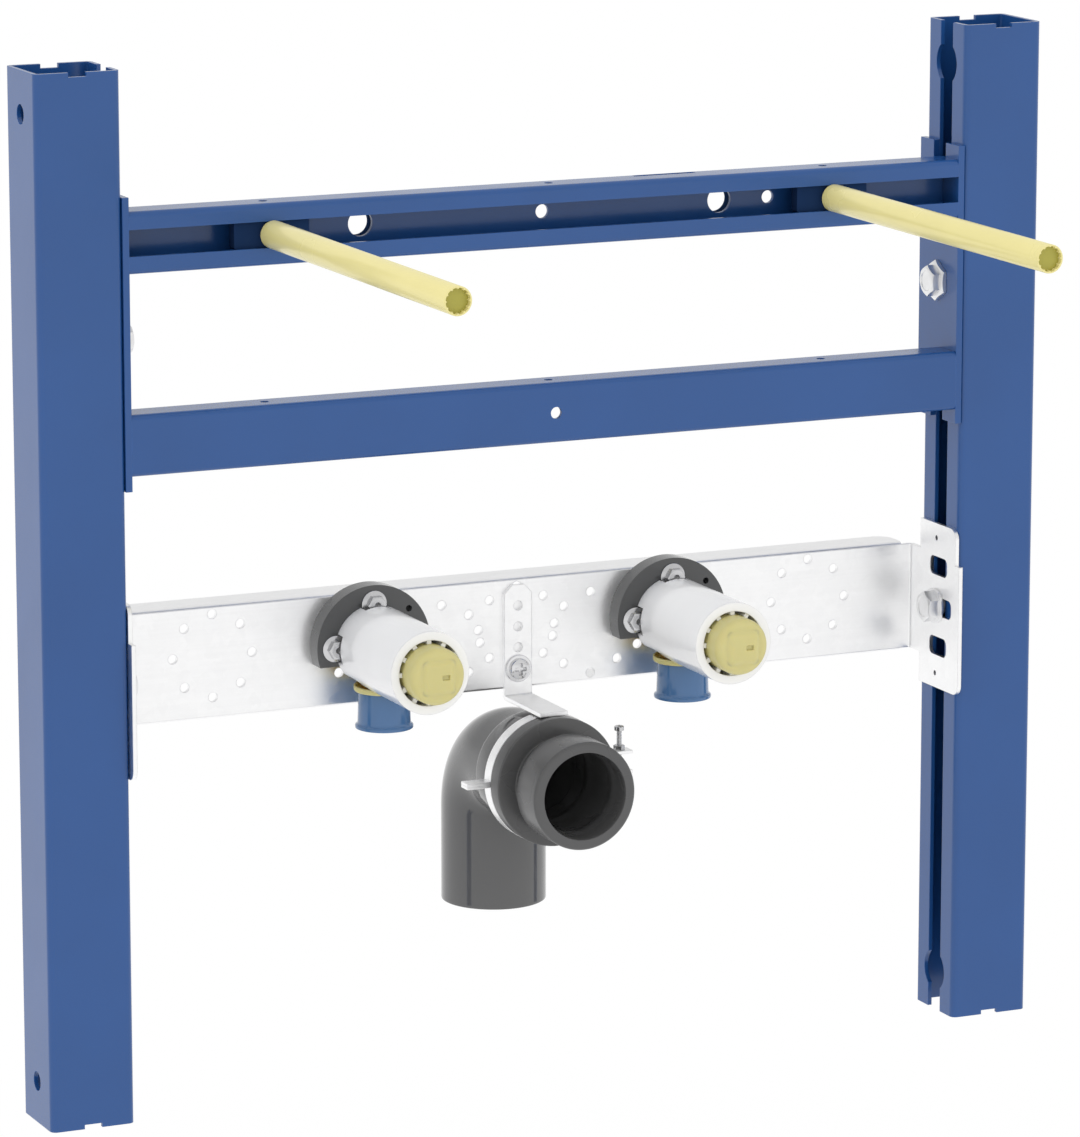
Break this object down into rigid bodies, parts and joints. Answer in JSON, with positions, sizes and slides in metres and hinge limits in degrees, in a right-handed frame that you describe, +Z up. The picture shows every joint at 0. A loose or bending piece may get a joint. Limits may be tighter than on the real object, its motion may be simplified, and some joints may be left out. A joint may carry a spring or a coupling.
{
  "type": "washbasin installation frame",
  "caption": "Open steel frame for a wall-hung basin: slotted posts, cross rails with sleeved fixing rods, drilled plate with wall taps, and a clamped waste bend.",
  "frame": {"origin": "middle of the left post's outer side face, where the frame is screwed to a stud", "axes": "+X across the frame to the right as seen from the room, +Y into the wall, +Z up"},
  "size_m": [0.5, 0.303, 0.48],
  "materials": {
    "blue_paint": "smooth satin powder coat",
    "zinc_sheet": "bright galvanised sheet",
    "bright_steel": "bright zinc-plated",
    "dark_steel": "dark coat",
    "brass": "cast and turned",
    "yellow_plastic": "satin",
    "white_plastic": "satin",
    "blue_plastic": "gloss",
    "grey_rubber": "matt",
    "black_rubber": "matt",
    "dark_plastic": "satin moulded"
  },
  "bodies": {
    "root": {"left_post": "blue_paint", "left_end_plate": "blue_paint", "left_end_bolt": "bright_steel", "left_end_nut": "bright_steel", "left_plate_bolt": "bright_steel", "left_plate_nut": "bright_steel", "left_rail_bush": "blue_paint", "left_rod": "bright_steel", "left_rod_sleeve": "yellow_plastic", "left_rod_anchor": "dark_steel", "left_tap_disc": "grey_rubber", "left_tap_sleeve": "white_plastic", "left_tap_body": "brass", "left_tap_plug": "yellow_plastic", "left_inlet_collar": "yellow_plastic", "left_inlet_cap": "blue_plastic", "left_tap_screw_outer": "bright_steel", "left_tap_screw_top": "bright_steel", "left_tap_screw_inner": "bright_steel", "right_post": "blue_paint", "right_end_plate": "blue_paint", "right_end_bolt": "bright_steel", "right_end_nut": "bright_steel", "right_plate_bolt": "bright_steel", "right_plate_nut": "bright_steel", "right_rail_bush": "blue_paint", "right_rod": "bright_steel", "right_rod_sleeve": "yellow_plastic", "right_rod_anchor": "dark_steel", "right_tap_disc": "grey_rubber", "right_tap_sleeve": "white_plastic", "right_tap_body": "brass", "right_tap_plug": "yellow_plastic", "right_inlet_collar": "yellow_plastic", "right_inlet_cap": "blue_plastic", "right_tap_screw_outer": "bright_steel", "right_tap_screw_top": "bright_steel", "right_tap_screw_inner": "bright_steel", "top_rail": "blue_paint", "lower_rail": "blue_paint", "mounting_plate": "zinc_sheet", "waste_socket": "dark_plastic", "waste_bend": "dark_plastic", "waste_leg": "dark_plastic", "waste_seal": "black_rubber", "clamp_upper": "zinc_sheet", "clamp_lower": "zinc_sheet", "clamp_screw": "bright_steel", "waste_strap": "zinc_sheet", "strap_bolt": "bright_steel"}
  },
  "joints": []
}
